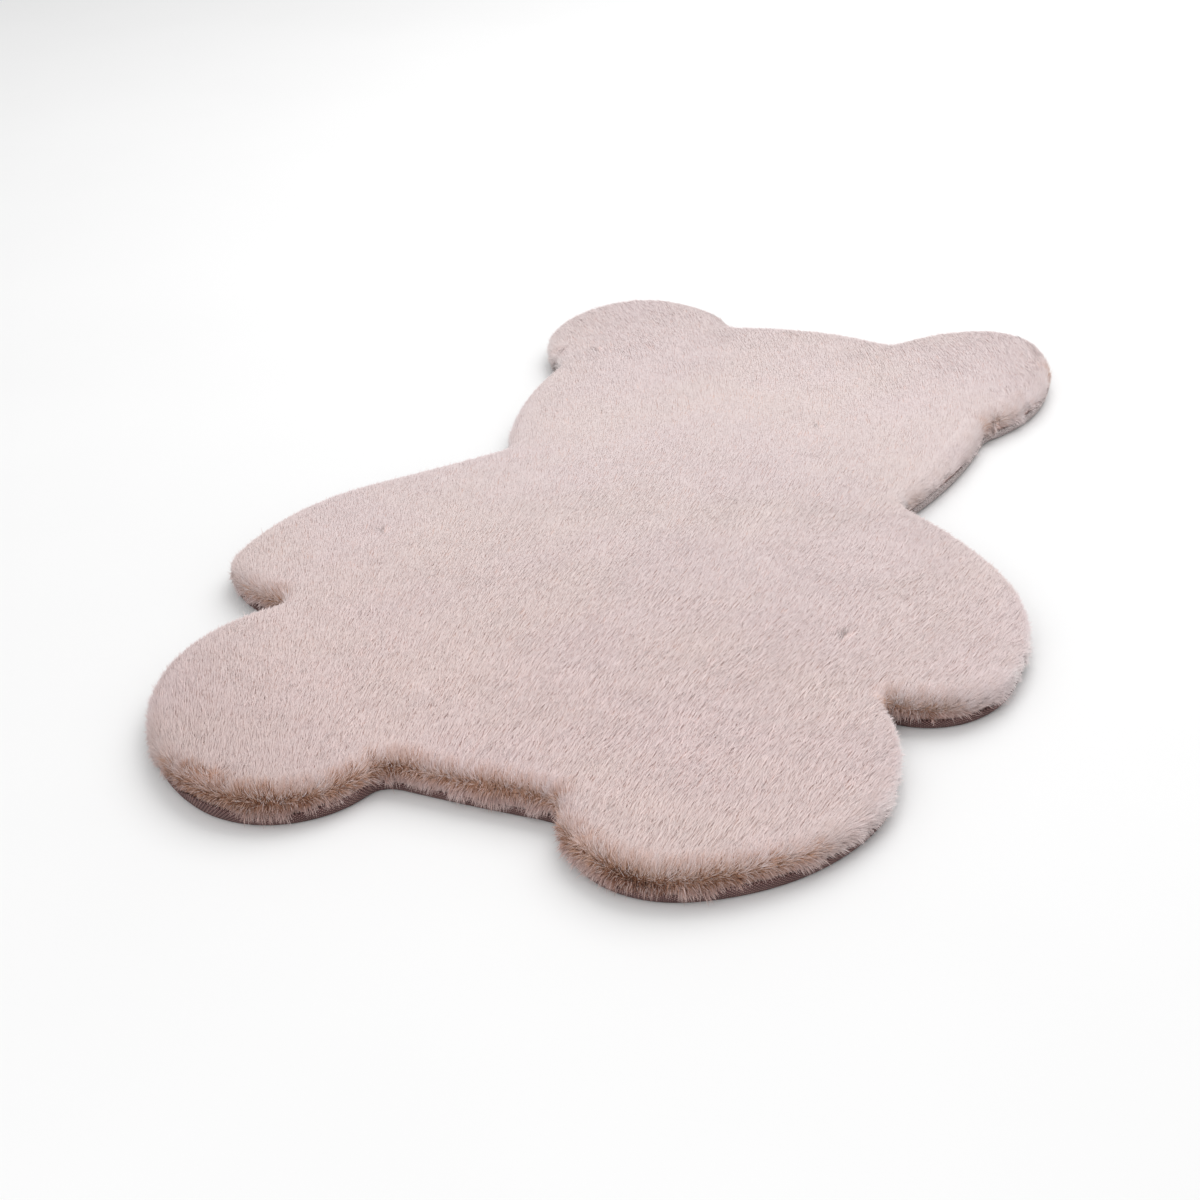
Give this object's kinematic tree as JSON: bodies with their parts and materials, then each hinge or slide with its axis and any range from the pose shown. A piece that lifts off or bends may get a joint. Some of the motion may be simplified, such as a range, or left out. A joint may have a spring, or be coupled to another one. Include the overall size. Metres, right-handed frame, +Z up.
{
  "type": "bear-shaped faux-fur rug",
  "caption": "Flat bear-shaped rug for a child's room, with round ears, arms and legs: dense short faux-fur pile rolled over the edge, on a dark knitted backing.",
  "frame": {"origin": "on the floor, under the middle of the rug's box", "axes": "+Y along the rug towards the head, +X across it to the right seen from above with the head away, +Z up through the pile"},
  "size_m": [0.7954, 1.1514, 0.0368],
  "materials": {
    "fur": "matt dusty pink plush pile, brownish at the roots",
    "knit": "matt dark mauve ribbed knit"
  },
  "bodies": {
    "root": {"fur_pile": "fur", "backing": "knit"}
  },
  "joints": []
}
